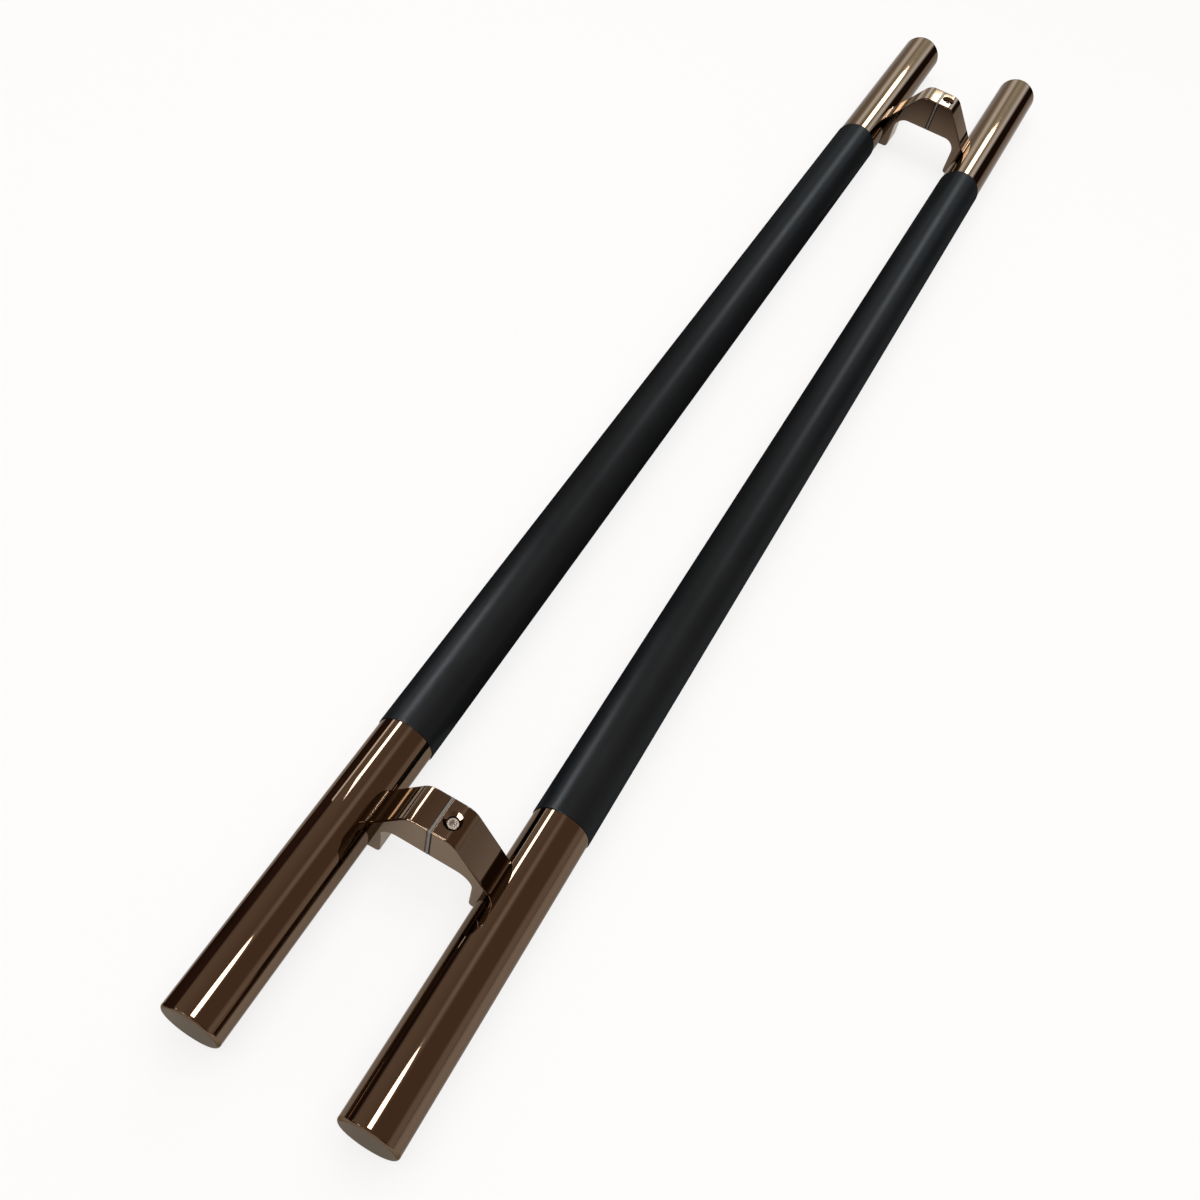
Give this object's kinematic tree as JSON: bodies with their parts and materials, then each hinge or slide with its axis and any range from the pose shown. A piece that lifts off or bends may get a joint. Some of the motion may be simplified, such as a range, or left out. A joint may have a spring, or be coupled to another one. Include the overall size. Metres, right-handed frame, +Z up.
{
  "type": "glass door pull handle",
  "caption": "Back-to-back pair of long round bar pulls for a glass door, with polished bronze ends, black grips and arched offset clamps.",
  "frame": {"origin": "midway between the two bars and between their ends, on the plane that the bars lie on", "axes": "+Y along the bars to the far end, +X from the left bar to the right bar, +Z up out of the arches' tops"},
  "size_m": [0.1492, 1.2, 0.0685],
  "materials": {
    "polished": "mirror-polished dark bronze",
    "grip": "satin black",
    "gasket": "smooth grey",
    "fastener": "plain steel"
  },
  "bodies": {
    "root": {"left_tube": "polished", "left_grip": "grip", "left_far_cap": "polished", "left_near_cap": "polished", "right_tube": "polished", "right_grip": "grip", "right_far_cap": "polished", "right_near_cap": "polished", "near_left_arm": "polished", "near_right_arm": "polished", "near_left_gasket": "gasket", "near_right_gasket": "gasket", "near_stud": "fastener", "near_grub_screw": "fastener", "far_left_arm": "polished", "far_right_arm": "polished", "far_left_gasket": "gasket", "far_right_gasket": "gasket", "far_stud": "fastener", "far_grub_screw": "fastener"}
  },
  "joints": []
}
